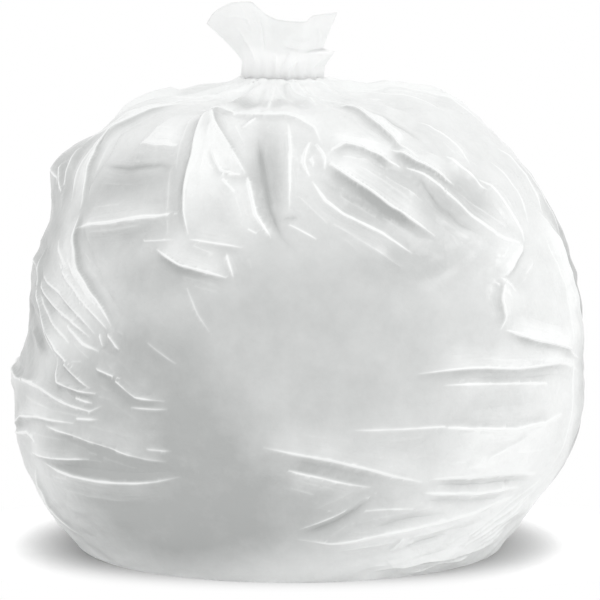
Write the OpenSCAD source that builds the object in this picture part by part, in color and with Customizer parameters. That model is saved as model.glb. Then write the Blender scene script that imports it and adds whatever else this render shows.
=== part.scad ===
// A kitchen bin bag of thin white film, filled with loose household waste, tied at the neck
// and standing on the ground. Seen from the front (from -Y), +X is to the right and +Z is up.
// The origin is the middle of the bag's outer box, at the level of the ground.

/* [Body] */
// Widest span of the filled bag from left to right
bag_w = 388; // [330:1:430]
// Widest span of the filled bag from front to back
bag_d = 350; // [290:1:385]
// Width of the flat patch that the bag rests on
base_w = 290; // [240:1:310]
// Depth of that flat patch
base_d = 262; // [210:1:280]
// How far the middle of the patch lies to the left of the body's middle
base_shift = 6; // [0:1:12]
// How straight the flanks run down to the patch: 1 is round and 3 is nearly straight
flank = 2; // [1:0.1:3]
// Height of the widest level above the ground
belly_h = 115; // [90:1:135]
// How much higher that level lies at the right side than at the front
belly_tilt = 16; // [0:1:20]
// How far the neck leans to the left of the resting patch
neck_lean = 13; // [0:1:20]
// How far the film stands out at the shoulders
shoulder = 10; // [0:0.5:14]
// How deep the film sags and how far it is pushed out by what is inside
sag = 12; // [6:0.5:15]

/* [Folds] */
// Height that the film's sharp folds are measured by
fold_h = 8; // [3:0.5:12]
// Width that the slopes of the film's sharp folds are measured by
fold_w = 22; // [16:0.5:28]
// Height of the small gathers that run down from the tie
gather_h = 3.5; // [1:0.5:5]
// How sharp the crest of a fold is: 1 is a plain wedge, and more is sharper
crest = 2; // [1:0.1:2.5]

/* [Neck] */
// Height of the tie above the ground
tie_h = 320; // [290:1:350]
// Diameter of the gathered neck inside the tie
neck_d = 44; // [36:1:54]
// Thickness of the tie
tie_t = 2.2; // [1.6:0.1:3]
// Gap between the tie and the film that it holds
tie_gap = 0.3; // [0.2:0.05:0.5]

/* [Open end above the tie] */
// Height of the open end above the tie
tuft_h = 51; // [36:1:70]
// Width of the open end from left to right, if both sides reached as far as the left one
tuft_w = 102; // [80:1:120]
// Depth of the open end from front to back
tuft_d = 31; // [26:1:36]
// How far the film bulges out just above the tie
waist_bulge = 4; // [3:0.5:6]
// Thickness of the gathered film at the rim
tuft_wall = 2.4; // [1.6:0.1:3]
// How far the small corner folded out at the right stands out
flap_out = 11; // [4:0.5:14]
// Height of the waves in the open end
ruffle_h = 2.2; // [0.5:0.1:3]

/* [Hidden] */

film_colour = [0.88, 0.89, 0.885];
tie_colour = [0.80, 0.81, 0.80];

// Places on the film are given by an azimuth and a height on the film. The azimuth is 0 at the
// front, 90 at the right and 180 at the back. The height on the film is 0 at the edge of the
// resting patch, belly_up at the widest level and tie_up at the tie.
belly_up = 32;
tie_up = 100;
// Heights on the film over which its folds die out at the ground and at the tie
ground_fade = 6;
tie_fade = 3;
// Heights on the film where the gathers under the tie begin, are full and have ended
gathers_low = 72;
gathers_full = 88;
gathers_high = 98;
segments = 96;
lower_rings = 14;
upper_rings = 33;
tuft_rings = 8;
mouth_rings = 3;
// Shares of the open end's height at which it begins to flare and the hollow of its mouth ends
flare_low = 0.25;
mouth_floor = 0.45;
// Corner folded out at the right: its azimuth, half its width in degrees, and the shares of the
// open end's height at which it stands out furthest and ends
flap_azimuth = 70;
flap_half = 42;
flap_high = 0.38;
flap_top = 0.52;
// How much closer the points lie at the front than at the back, in degrees
front_density = 20;
// Free space below and above the tie in its groove
groove_gap = 0.5;
// Height over which the film swells from the groove to the waist above it
waist_rise = 2;
groove_bottom = tie_h - tie_t / 2 - groove_gap;
groove_top = tie_h + tie_t / 2 + groove_gap;
waist_r = neck_d / 2 + waist_bulge;
// Lengths along the film from the patch to the widest level, and from there to the tie
lower_len = 90 * PI / 180 * norm([(bag_w - base_w) / 2, belly_h]) / sqrt(2);
upper_len = 90 * PI / 180 * norm([(bag_w - neck_d) / 2, tie_h - belly_h]) / sqrt(2);
upper_up = tie_up - belly_up;

// Broad swells and hollows: azimuth, height, half width in degrees, half height, share of sag
SWELLS = [
    [100, 80, 60, 14, 0.4],
    [-90, 66, 32, 8, 1],
    [-90, 56, 70, 26, -0.7],
    [-90, 42, 50, 8, -0.4],
    [80, 42, 60, 24, 0.25],
    [0, 90, 360, 14, -0.8],
];

// Folds as lines on the film: places along the crest as azimuth and height, then how far the film
// slopes down from it on the left and on the right as one walks along it, in tenths of fold_w, and
// its height in tenths of fold_h. A height below zero is a valley. A short slope is a sharp drop.
RIGHT_SHOULDER = [
    [[[28, 85], [33, 78], [39, 74], [41, 69]], 6, 4, -4],
    [[[24, 84], [27, 76], [31, 70], [35, 66]], 11, 4, 6],
    [[[28, 69], [33, 66], [41, 62]], 12, 4, 7],
    [[[12, 70], [16, 70.5], [20, 69.5], [25, 67], [29, 65.5]], 15, 5, 6],
    [[[29, 66], [33, 64], [38, 60], [42, 57], [47, 54.5], [55, 52.5]], 7, 10, 6],
    [[[10, 68.5], [15, 64], [17.5, 62.5], [22, 59.5], [26, 57.5], [32, 54.5]], 15, 4, 8],
    [[[7, 66], [12, 62.5], [16, 60], [20, 58.5], [25, 56.5]], 6, 6, -6],
    [[[6.5, 65], [9, 61], [12, 59], [19, 56], [26, 52.5]], 5, 13, 7],
    [[[50, 63], [53, 60], [54.5, 56], [56, 52.5]], 9, 11, 6],
    [[[55.5, 52.5], [50, 50], [46, 48]], 3, 13, 5],
    [[[46, 48], [43.5, 45], [44, 42], [42.5, 40.5]], 15, 4, 4],
    [[[68, 57], [71, 51], [73, 45], [74.5, 36], [76, 30], [74, 22]], 3, 12, 5],
    [[[70, 55], [74, 50], [76, 44], [78, 36], [78, 24]], 6, 3, -4],
    [[[43, 41], [50, 39], [62, 36], [74, 33]], 10, 4, 6],
    [[[84, 90], [82, 80], [86, 70]], 8, 8, 4],
];
MIDDLE = [
    [[[-28, 80], [-26, 74], [-24, 69], [-23.5, 64], [-23, 60], [-21, 56]], 18, 4, 8],
    [[[-28, 80], [-22, 75], [-17, 71.5], [-13, 68.5], [-9.8, 66]], 4, 13, 7],
    [[[-9.8, 66], [-8.5, 63], [-7, 59], [-3.5, 55.7]], 6, 13, 5],
    [[[-20, 70.5], [-18, 68], [-16, 66.3], [-10, 66]], 8, 3, 4],
    [[[-21.5, 56.3], [-15, 55.3], [-9, 54.5]], 14, 4, 5],
    [[[-36, 81.5], [-28, 79.8], [-20, 79], [-10, 78], [0, 77.6], [5, 76.8], [9, 74.8],
        [10.5, 71]], 16, 3.5, 6],
    [[[-9, 74], [-7, 69], [-5.5, 65], [-4, 60], [-1.5, 56], [3, 53]], 11, 10, -5],
    [[[-0.5, 58.2], [3, 57], [7, 55.5]], 6, 3, 4],
    [[[-29, 55.3], [-22.5, 52.6], [-16, 51.2], [-11.5, 50.3]], 15, 3, 6],
];
LEFT_SHOULDER = [
    [[[-50, 84], [-60, 76], [-65, 71], [-61.5, 66.5], [-57.5, 62], [-57, 59.5]], 4, 12, 6],
    [[[-57, 60], [-54, 56], [-51, 53], [-42, 48], [-37, 43.5]], 4, 12, 6],
    [[[-80, 66], [-68, 61.5]], 6, 4, 4],
    [[[-58, 68], [-45, 67.5], [-33, 68], [-26, 66.3]], 12, 12, -4],
    [[[-47, 72], [-38, 71.3], [-29, 71.3]], 20, 8, 5],
    [[[-55, 57.8], [-43, 58.6], [-32, 59.5], [-23.5, 60]], 18, 3, 6],
    [[[-64, 80], [-72, 74], [-80, 69]], 6, 4, 4],
    [[[-48, 92], [-56, 84], [-66, 80]], 4, 6, 4],
];
LEFT_SIDE = [
    [[[-71.5, 50.5], [-62, 45], [-54, 41], [-45, 38]], 5, 6, 6],
    [[[-82, 47], [-70, 43], [-58, 40]], 10, 8, -6],
    [[[-76, 37], [-60, 36], [-47, 34], [-43, 33.6], [-39, 34.8]], 5, 4, 5],
    [[[-78, 29.5], [-69, 31.7], [-60, 32], [-46, 31.7]], 7, 3, 5],
    [[[-68, 26.4], [-55, 26.8], [-42, 27.4]], 10, 3, 6],
    [[[-58, 31], [-48, 30.2], [-38, 29.2], [-30, 28.2], [-24, 27.6]], 12, 3.5, 5],
    [[[-62, 25.4], [-50, 24.8], [-43, 24.6], [-33, 25], [-22, 25.8]], 4, 10, 6],
    [[[-68, 24], [-66, 18], [-60, 12]], 3, 5, 4],
];
LOWER_FRONT = [
    [[[26, 36.2], [38, 35.6], [50, 34.7], [62, 33.5], [74, 31.5]], 8, 4, 6],
    [[[32, 33.8], [45, 32.8], [60, 31]], 3, 13, 4],
    [[[27, 29.2], [34, 28.6], [46, 27.4], [56, 27.4], [64, 28.3]], 4, 14, 5],
    [[[27, 23.3], [40, 22.8], [60, 21.7]], 26, 3, 7],
    [[[26, 21.6], [40, 20.6], [56, 20]], 4, 5, 4],
    [[[-7, 28.8], [0, 28], [7, 27], [14, 25.6], [20, 24.2], [27, 22.8]], 13, 4, 6],
    [[[0, 16], [8, 15.3], [21, 16.5], [33, 17], [45, 18], [58, 19]], 5, 11, 5],
    [[[25.3, 15.6], [23.3, 12.8]], 13, 3, 4],
    [[[21, 6.5], [26, 8.5], [37, 9], [50, 9.5], [62, 10.5]], 15, 4, 5],
];
// Folds that fan out down the back from the neck, and puckers across the back near the ground
BACK_FAN = [for (i = [0 : 11])
    [[[104 + 13 * i, 97 - 5 * (i % 3)], [101 + 14 * i, 78],
        [100 + 14 * i + 5 * (i % 2), 56 + 6 * ((i * 5) % 4)]],
        6 + 4 * (i % 3), 16 - 4 * (i % 3), 5 + 1.5 * (i % 2)]];
BACK_PUCKERS = [for (i = [0 : 9])
    [[[98 + 17 * i, 20 + 11 * ((i * 3) % 4)], [122 + 16 * i, 24 + 10 * ((i * 3 + i % 2) % 4)]],
        12, 4, 5]];
BACK_VALLEYS = [for (i = [0 : 6])
    [[[112 + 20 * i, 74 - 3 * (i % 3)], [124 + 18 * i, 44 + 5 * (i % 2)]], 10, 10, -5]];
FOLDS = concat(RIGHT_SHOULDER, MIDDLE, LEFT_SHOULDER, LEFT_SIDE, LOWER_FRONT, BACK_FAN, BACK_PUCKERS,
    BACK_VALLEYS);
// Shares of a fold's length over which it grows from its first end and dies out to its last one
fold_start = 0.18;
fold_end = 0.3;
// Width of a fold at its very ends, as a share of its full width
fold_point = 0.35;
// How firmly folds that meet are joined: 1 would add them up
joining = 3;
valley_share = 0.7;

// Gathers under the tie: count around the neck, turn, how far they wander, share of gather_h
GATHERS = [
    [17, 40, 0, 0.6],
    [26, -70, 25, 0.5],
];

// Rim of the open end: azimuth, and percent of half tuft_w, of half tuft_d and of tuft_h
RIM = [
    [-180, 0, 95, 74],
    [-150, -25, 100, 84],
    [-120, -60, 80, 94],
    [-100, -90, 40, 84],
    [-90, -100, 0, 70],
    [-75, -85, -55, 88],
    [-55, -62, -85, 99],
    [-35, -40, -95, 100],
    [-22, -30, -100, 92],
    [-10, -14, -100, 80],
    [10, 10, -100, 75],
    [35, 34, -90, 75],
    [52, 46, -75, 82],
    [75, 66, -40, 85],
    [90, 73, 0, 85],
    [110, 62, 50, 78],
    [140, 38, 85, 72],
    [180, 0, 95, 74],
];

function smooth(x) = let (c = min(1, max(0, x))) c * c * (3 - 2 * c);
function lump(x) = smooth(1 - abs(x));
function blend(from, to, share) = from + (to - from) * share;
// The same angle between -180 and 180
function wrapped(a) = a - 360 * floor((a + 180) / 360);
function total(values) = len(values) == 0 ? 0 : values * [for (v = values) 1];

// Angle of the outline's quarter ellipse, 0 at its lower end and 90 at its upper end
function quarter(up) = 90 * (up < belly_up ? up / belly_up : (up - belly_up) / upper_up);
function half_span(up, base, belly, neck) = up < belly_up
    ? blend(base, belly, pow(sin(quarter(up)), flank)) / 2
    : blend(neck, belly, cos(quarter(up))) / 2;

// Millimetres along the film for a degree around it and for a percent of its height
function measure(up) = [
    (half_span(up, base_w, bag_w, neck_d) + half_span(up, base_d, bag_d, neck_d)) * PI / 360,
    up < belly_up ? lower_len / belly_up : upper_len / upper_up];
function offset_on_film(from, to, m) = [wrapped(to[0] - from[0]) * m[0], (to[1] - from[1]) * m[1]];

// A fold in millimetres, with the way passed at each of its places and the window that it reaches:
// middle azimuth, half width in degrees, lowest and highest place
function laid_out(fold) = let (
        line = fold[0],
        spans = [for (k = [0 : len(line) - 2])
            norm(offset_on_film(line[k], line[k + 1], measure(line[k][1])))],
        passed = concat([0], [for (k = 0, way = spans[0]; k < len(spans);
            k = k + 1, way = way + (k < len(spans) ? spans[k] : 0)) way]),
        left = fold[1] / 10 * fold_w,
        right = fold[2] / 10 * fold_w,
        turns = [for (p = line) wrapped(p[0] - line[0][0])],
        heights = [for (p = line) p[1]],
        m = [for (p = line) measure(p[1])],
        slack = max(left, right),
        half = (max(turns) - min(turns)) / 2 + slack / max(0.4, min([for (v = m) v[0]])),
        slack_up = slack / min([for (v = m) v[1]]))
    [line, passed, left, right, fold[3] / 10 * fold_h,
        line[0][0] + (max(turns) + min(turns)) / 2, half, min(heights) - slack_up, max(heights) + slack_up];
LAID_OUT = [for (fold = FOLDS) laid_out(fold)];

// For a place beside one stretch of a line: its distance, way passed, and on which side it lies
function beside_stretch(from, to, passed, next, place, m) = let (
        run = offset_on_film(from, to, m),
        offset = offset_on_film(from, place, m),
        share = min(1, max(0, offset * run / (run * run))))
    [norm(offset - share * run), blend(passed, next, share), offset[0] * run[1] - offset[1] * run[0]];

// How far one fold lifts the film: sharp at its crest, with a point at both ends
function fold_lift(fold, place, m) = let (
        line = fold[0],
        passed = fold[1],
        whole = passed[len(passed) - 1],
        beside = [for (k = [0 : len(line) - 2])
            beside_stretch(line[k], line[k + 1], passed[k], passed[k + 1], place, m)],
        gap = min([for (b = beside) b[0]]),
        nearest = [for (b = beside) if (b[0] == gap) b][0],
        along = nearest[1] / whole,
        share = max(0, min(1, along / fold_start, (1 - along) / fold_end)),
        reach = (nearest[2] > 0 ? fold[3] : fold[2]) * blend(fold_point, 1, share))
    fold[4] * share * pow(max(0, 1 - gap / reach), crest);

// All folds at a place: those that meet are joined smoothly
function joined(lifts) = pow(total([for (v = lifts) pow(v, joining)]), 1 / joining);
function folded(a, up) = let (
        m = measure(up),
        lifts = [for (fold = LAID_OUT)
            if (up > fold[7] && up < fold[8] && abs(wrapped(a - fold[5])) < fold[6])
                fold_lift(fold, [a, up], m)])
    joined([for (v = lifts) max(0, v)]) - valley_share * joined([for (v = lifts) max(0, -v)]);

// Gathers that start below the tie and die out on the shoulders
function gather_lift(a, up) = let (
        near = smooth((up - gathers_low) / (gathers_full - gathers_low))
            * smooth((gathers_high - up) / ground_fade))
    near == 0 ? 0
    : gather_h * near * total([for (g = GATHERS) g[3] * cos(g[0] * a + g[1] + g[2] * sin(3 * a))]);

// How far the film stands off the smooth body
function lift(a, up) = let (
        held = smooth(up / ground_fade) * smooth((tie_up - up) / tie_fade),
        full = up < belly_up ? 0 : shoulder * pow(sin(2 * quarter(up)), 2),
        swells = [for (s = SWELLS) s[4] * lump(wrapped(a - s[0]) / s[2]) * lump((up - s[1]) / s[3])])
    held * (full + sag * total(swells) + folded(a, up) + gather_lift(a, up));

// Point of the film at an azimuth and a height on the film
function film_point(a, up) = let (
        lower = up < belly_up,
        q = lower ? max(1, quarter(up)) : quarter(up),
        level = belly_h + belly_tilt * sin(a),
        z = up == 0 ? 0 : lower ? level * (1 - cos(q)) : blend(level, groove_bottom, sin(q)),
        climb = lower ? level * sin(q) : (groove_bottom - level) * cos(q),
        widen = lower ? (bag_w - base_w) / 2 * flank * pow(sin(q), flank - 1) * cos(q)
            : -(bag_w - neck_d) / 2 * sin(q),
        off = lift(a, up) / norm([climb, widen]),
        outward = off * climb,
        x = sin(a) * (half_span(up, base_w, bag_w, neck_d) + outward),
        y = -cos(a) * (half_span(up, base_d, bag_d, neck_d) + outward))
    [x - neck_lean * pow(z / tie_h, 2) - base_shift * (1 - smooth(z / belly_h)), y, z - off * widen];

function neck_point(a, radius, z) = [radius * sin(a) - neck_lean, -radius * cos(a), z];

// Rim at an azimuth, as an offset from the middle of the neck
function rim(a) = let (
        k = max([for (i = [0 : len(RIM) - 2]) if (RIM[i][0] <= a) i]),
        share = smooth((a - RIM[k][0]) / (RIM[k + 1][0] - RIM[k][0])),
        r = blend(RIM[k], RIM[k + 1], share))
    [r[1] / 100 * tuft_w / 2, r[2] / 100 * tuft_d / 2, r[3] / 100 * tuft_h];

// Small corner at the right that is folded outward, half-way up the open end
function flap(a, t) = let (
        rise = t < flap_high ? t / flap_high : max(0, (flap_top - t) / (flap_top - flap_high)))
    flap_out * rise * lump((a - flap_azimuth) / flap_half);

// Point of the open end, from 0 at the waist to 1 at the rim, moved inward by some thickness
function tuft_point(a, t, inward) = let (
        edge = rim(wrapped(a)),
        flare = pow(max(0, (t - flare_low) / (1 - flare_low)), 1.2),
        waves = ruffle_h * (t * sin(9 * a + 30) + 0.3 * (1 - t) * cos(18 * a)),
        out = waves + flap(wrapped(a), t) - inward,
        x = blend(waist_r * sin(a), edge[0], flare) + out * sin(a),
        y = blend(-waist_r * cos(a), edge[1], flare) - out * cos(a) * blend(1, 0.6, t))
    [x - neck_lean, y, groove_top + blend(waist_rise, edge[2] - tie_t / 2 - groove_gap, t)];

azimuths = [for (i = [0 : segments - 1]) let (b = 360 * i / segments) b - front_density * sin(b)];
function ring_of(up) = [for (a = azimuths) film_point(a, up)];
function neck_ring(radius, z) = [for (a = azimuths) neck_point(a, radius, z)];
function tuft_ring(t, inward) = [for (a = azimuths) tuft_point(a, t, inward)];

rings = concat(
    [for (i = [0 : lower_rings - 1]) ring_of(belly_up * i / lower_rings)],
    [for (i = [0 : upper_rings]) ring_of(blend(belly_up, tie_up, i / upper_rings))],
    [neck_ring(neck_d / 2, groove_top)],
    [for (i = [0 : tuft_rings]) tuft_ring(i / tuft_rings, 0)],
    [for (i = [0 : mouth_rings]) tuft_ring(blend(1, mouth_floor, i / mouth_rings), tuft_wall)]
);
last = len(rings) - 1;
mouth_middle = [-neck_lean, 0, min([for (p = rings[last]) p[2]])];

// Middle of the outer box, which the origin lies under
points_x = [for (ring = rings) for (p = ring) p[0]];
points_y = [for (ring = rings) for (p = ring) p[1]];
middle_x = (min(points_x) + max(points_x)) / 2;
middle_y = (min(points_y) + max(points_y)) / 2;

function corner(ring, i) = ring * segments + i % segments;

// Film, contents and open end as one closed solid
module bag() {
    points = concat([for (ring = rings) for (p = ring) p], [mouth_middle]);
    base = [for (i = [0 : segments - 1]) i];
    sides = [for (r = [0 : last - 1]) for (i = [0 : segments - 1])
        each [[corner(r, i), corner(r + 1, i), corner(r + 1, i + 1)],
            [corner(r, i), corner(r + 1, i + 1), corner(r, i + 1)]]];
    mouth = [for (i = [0 : segments - 1]) [corner(last, i), len(points) - 1, corner(last, i + 1)]];
    color(film_colour)
        translate([-middle_x, -middle_y, 0])
            polyhedron(points, concat([base], sides, mouth));
}

// Thin ring that squeezes the neck shut, lying in the groove
module neck_tie() {
    color(tie_colour)
        translate([-neck_lean - middle_x, -middle_y, tie_h])
            rotate_extrude($fn = 96)
                translate([neck_d / 2 + tie_gap + tie_t / 2, 0])
                    circle(d = tie_t, $fn = 24);
}

bag();
neck_tie();
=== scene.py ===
from math import cos, pi, radians, sin

import bpy
import numpy as np
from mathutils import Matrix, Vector


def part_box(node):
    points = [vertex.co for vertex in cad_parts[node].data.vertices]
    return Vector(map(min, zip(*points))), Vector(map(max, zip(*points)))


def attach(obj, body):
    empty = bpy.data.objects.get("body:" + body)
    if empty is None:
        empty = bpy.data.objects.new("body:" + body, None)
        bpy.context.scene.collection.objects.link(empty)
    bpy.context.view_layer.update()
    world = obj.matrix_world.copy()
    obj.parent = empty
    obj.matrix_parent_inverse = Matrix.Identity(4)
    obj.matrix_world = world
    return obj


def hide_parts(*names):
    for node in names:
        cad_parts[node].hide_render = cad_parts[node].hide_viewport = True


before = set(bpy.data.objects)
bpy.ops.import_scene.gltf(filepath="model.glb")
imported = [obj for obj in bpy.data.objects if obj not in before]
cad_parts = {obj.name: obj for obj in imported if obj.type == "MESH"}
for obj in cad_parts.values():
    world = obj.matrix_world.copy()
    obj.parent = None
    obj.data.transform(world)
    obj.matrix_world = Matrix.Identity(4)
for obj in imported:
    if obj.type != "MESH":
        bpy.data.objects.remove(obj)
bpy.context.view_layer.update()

# A place on the film is an azimuth in degrees, 0 at the front and 90 at the right, and a height in
# percent, from 0 at the ground to 100 at the tie. Lengths are in millimetres.

# Sizes as the part's source has them
BAG_W, BAG_D = 388.0, 350.0
BASE_W, BASE_D = 290.0, 262.0
BASE_SHIFT = 6.0
FLANK = 2.0
BELLY_H, BELLY_TILT = 115.0, 16.0
NECK_LEAN = 13.0
SHOULDER, SAG = 10.0, 12.0
TIE_H, TIE_T, NECK_D = 320.0, 2.2, 44.0
GROOVE_GAP = 0.5
TUFT_H, TUFT_W, TUFT_D = 51.0, 102.0, 31.0
FLAP_OUT = 11.0
BELLY_UP = 32.0

GROOVE_BOTTOM = TIE_H - TIE_T / 2 - GROOVE_GAP
GROOVE_TOP = TIE_H + TIE_T / 2 + GROOVE_GAP
LOWER_LEN = pi / 2 * np.hypot((BAG_W - BASE_W) / 2, BELLY_H) / np.sqrt(2)
UPPER_LEN = pi / 2 * np.hypot((BAG_W - NECK_D) / 2, TIE_H - BELLY_H) / np.sqrt(2)

# Where the frame puts the neck, which the film's own middle lies beside
tie_low, tie_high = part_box("neck_tie")
NECK = (tie_low + tie_high) / 2
MIDDLE_X = NECK.x * 1000 + NECK_LEAN
MIDDLE_Y = NECK.y * 1000

# Grid of the film: rows below and above the belly, columns around the bag, and how densely they
# stand, as azimuths or heights and the density at each
COLUMNS = 452
LOWER_ROWS, UPPER_ROWS = 66, 142
COLUMN_DENSITY = [
    [-180, -115, -95, -75, -38, -18, 5, 22, 60, 90, 115, 180],
    [0.75, 0.8, 1.5, 2.2, 2.2, 1.5, 1.2, 1.6, 1.8, 1.2, 0.8, 0.75],
]
ROW_DENSITY = [[32, 54, 64, 84, 96, 100], [1.5, 1.4, 1, 0.9, 0.7, 1]]
# Rows of the resting patch, and the share of its size that the innermost one has
PATCH_ROWS = 8
PATCH_INNERMOST = 0.12

# Percent of the height over which the film comes free of the ground, and meets the tie
FREE_LOW, FREE_HIGH = 6, 3

# Share of the heights below that the folds are given, and of that again for valleys
FOLD_SHARE = 0.8
VALLEY_SHARE = 0.7
# How many times its slope a fold reaches, and the share of this reach that is left at its ends
FOLD_REACH = 2.2
END_REACH = 0.35
# Shares of a fold's length over which it grows from a point and dies out to a point
GROWS, DIES = 0.18, 0.3
# Least length of a degree around the film, for reaches near the tie
LEAST_DEGREE = 0.4

# How near to a line the grid's points are looked at for its crest, the lowest fold that is drawn
# there, how many cells a point may move, and the heights between which points move
CREST_MARGIN = 8
LEAST_CREST = 0.3
MOST_CELLS = 0.8
CRESTS_FROM, CRESTS_TO = 2, 98.5

# Height of a fold that the material is told of in full, and the most it is told of a higher one
FULL_HEIGHT = 5
MOST_TOLD = 1.2
# How far from a crest its painted highlight line is told, and how thin it is drawn
LINE_REACH = 4.0
LINE_THIN = 7.0
# Shares of the painted highlight line and of the painted shade that the smaller folds are told with
SMALL_CREST = 0.85
SMALL_SHADE = 0.5
# A slope shorter than this is a sharp drop if the other one is this many times as long
STEEP = 5.5
LOPSIDED = 1.5
# How many times its slope a painted shade or a layer reaches, and how far it reaches past the crest
SHADE_REACH = 1.6
PAST_CREST = 1.5
# What the material is told where a crest isn't drawn, and far from every fold
UNDRAWN = -1
FAR = -20.0

# Streaks beside the folds: their reach, their height, the share of a fold's length over which they
# end, how far apart two folds' streaks are drawn, and the gap in which two folds' streaks die out
STREAK_REACH = 22.0
STREAK_H = 0.1
STREAK_ENDS = 0.35
STREAK_STEP = 300
STREAK_GAP = 6

# Smaller folds beside a main one, each from the least to the greatest: the share of it at which they
# start and the share that they run on, their distance, turn and slopes, and their share of its
# height, which counts up to the last number
SMALL_START = 0, 0.4
SMALL_LENGTH = 0.4, 0.7
SMALL_AWAY = 5, 15
SMALL_TURN = -3, 3
SMALL_SLOPE = 2, 5
SMALL_SHARE = 0.12, 0.35
SMALL_MOST = 6

# Height of the gathers under the tie, their two numbers around the neck, and where they start, are
# full, and are squeezed
GATHER_H = 2.5
GATHER_COUNTS = 17, 26
GATHER_START, GATHER_FULL, GATHER_TIGHT = 72, 88, 93

# Crumples: their height, the number of ways they run, their least and greatest width, and how far
# and over what length they bend
CRUMPLE_H = 0.9
CRUMPLE_WAYS = 7
CRUMPLE_WIDTH = 14, 34
CRUMPLE_BEND, CRUMPLE_BEND_SIZE = 4, 30
# Share of the crumples that is gone where the film lies smooth
CALM_SHARE = 0.85
# Height and size of the film's fine unevenness, and distance and size in which its folds wander
UNEVEN_H, UNEVEN_SIZE = 0.3, 9
WANDER, WANDER_SIZE = 0.8, 24
# Number of waves in a smooth noise
WAVES = 24

# Whiteness of film that stands free, what it gains at the top as painted light and loses across the
# shoulders as painted shade, and the share of the grey that is gone on a crest
FREE_WHITE = 0.85
TOP_GAIN = 0.06
SHOULDER_LOSS = 0.12
CREST_CLEAR = 0.2

# Open end: columns, rows outside, inside and of its floor, share of the height that the inside
# reaches down to, and the film's thickness at the rim and there
TUFT_COLUMNS = 480
OUTER_ROWS, INNER_ROWS, THROAT_ROWS = 80, 50, 10
INSIDE_FOOT = 0.4
LINING_RIM, LINING_FOOT = 0.5, 2.0
# Depth of the floor's middle below its edge, and depth and half the number of its pleats
THROAT_DEEP = 4
THROAT_PLEAT, THROAT_PLEATS = 2.0, 10
# Share of the open end's height from which it spreads, and the power by which it does
SPREAD_FROM, SPREAD_POWER = 0.25, 1.2
# Azimuth and half width of the flap at its right corner, and the shares of the height up to which
# it grows and over which it then ends
FLAP_AT, FLAP_WIDE = 70, 42
FLAP_UP, FLAP_DROP = 0.38, 0.05
# Millimetres along the open end for a degree around it, and width of the painted shade along its rim
RIM_DEGREE = 0.6
RIM_SHADE_WIDTH = 2.0

# Camera: its aim and distance in metres, and the millimetres that a pixel of the photograph covers
AIM = Vector((MIDDLE_X / 1000, 0, 0.168))
CAMERA_DISTANCE = 1.9
CAMERA_ELEVATION = radians(7)
MM_PER_PIXEL = 0.684
PHOTO_PIXELS = 600
SENSOR = 36
# Lamps: name, place and size in metres, power in watts
LAMPS = [
    ["key", (1.5, -1.1, 1.4), 0.8, 8],
    ["fill", (-1.6, -1.0, 0.9), 1.2, 3],
]
LAMP_TARGET = Vector((0, 0, 0.18))
# Strength of the light from all around, and its colour
SKY = 0.92
WHITE = (1, 1, 1, 1)

# Broad swells and hollows: azimuth, height, half width in degrees, half height, share of SAG
SWELLS = [
    [100, 80, 60, 14, 0.4],
    [-90, 66, 32, 8, 1],
    [-90, 56, 70, 26, -0.7],
    [-90, 42, 50, 8, -0.4],
    [80, 42, 60, 24, 0.25],
    [0, 90, 360, 14, -0.8],
    [78, 22, 36, 10, 0.5],
]

# Folds as lines on the film: places along the crest as azimuth and height, then how far the film
# slopes down from it on the left and on the right as one walks along it, and its height, all in
# millimetres. A height below zero is a valley. A short slope is a sharp drop.
RIGHT_SHOULDER = [
    ([(28, 85), (33, 78), (39, 74), (41, 69)], 6, 4, -4),
    ([(24, 84), (27, 76), (31, 70), (35, 66)], 11, 4, 6),
    ([(28, 69), (33, 66), (41, 62)], 12, 4, 7),
    ([(12, 70), (16, 70.5), (20, 69.5), (25, 67), (29, 65.5)], 15, 5, 6),
    ([(29, 66), (33, 64), (38, 60), (42, 57), (47, 54.5), (55, 52.5)], 7, 10, 6),
    ([(30, 65), (34, 59.5), (38, 56.5), (45, 53.5)], 10, 8, -3),
    ([(10, 68.5), (15, 64), (17.5, 62.5), (22, 59.5), (26, 57.5), (32, 54.5)], 15, 5, 7),
    ([(7, 66), (12, 62.5), (16, 60), (20, 58.5), (25, 56.5)], 9, 9, -1.5),
    ([(6.5, 65), (9, 61), (12, 59), (19, 56), (26, 52.5)], 10, 13, 5),
    ([(7.5, 72), (5.5, 69.5), (5, 67.5), (6.5, 65)], 4, 3, 4),
    ([(8.5, 71.5), (10.5, 68.5), (10, 66)], 3, 4, 4),
    ([(7, 69.5), (7.5, 67)], 2, 2, 2.5),
    ([(50, 63), (53, 60), (54.5, 56), (56, 52.5)], 9, 11, 6),
    ([(55.5, 52.5), (50, 50), (46, 48)], 3, 13, 5),
    ([(43, 47.7), (47, 45)], 3, 3, 3),
    ([(45, 48.3), (49, 45.6)], 3, 3, 2.5),
    ([(46, 48), (43.5, 45), (44, 42), (42.5, 40.5)], 15, 4, 4),
    ([(46, 75), (50, 69.5), (50.5, 65)], 5, 6, 3),
    ([(43.5, 67.5), (47, 64), (50.5, 60.5)], 5, 4, 3.5),
    ([(72, 68), (75, 62), (71, 55)], 6, 4, 3),
    ([(80, 64), (77, 56), (76, 50)], 5, 5, 3),
    ([(60, 66), (62, 60), (60, 54)], 5, 5, 2),
    ([(68, 57), (71, 51), (73, 45), (74.5, 36), (76, 30), (74, 22)], 3, 12, 5),
    ([(70, 55), (74, 50), (76, 44), (78, 36), (78, 24)], 6, 3, -4),
    ([(64, 53), (66.5, 48), (68, 42), (69, 35), (68.5, 28), (65, 21)], 3, 4, 2.5),
    ([(43, 41), (50, 39), (62, 36), (74, 33)], 10, 4, 6),
    ([(64, 92), (60, 84), (66, 76)], 8, 6, 3),
    ([(84, 90), (82, 80), (86, 70)], 8, 8, 4),
]
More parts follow.
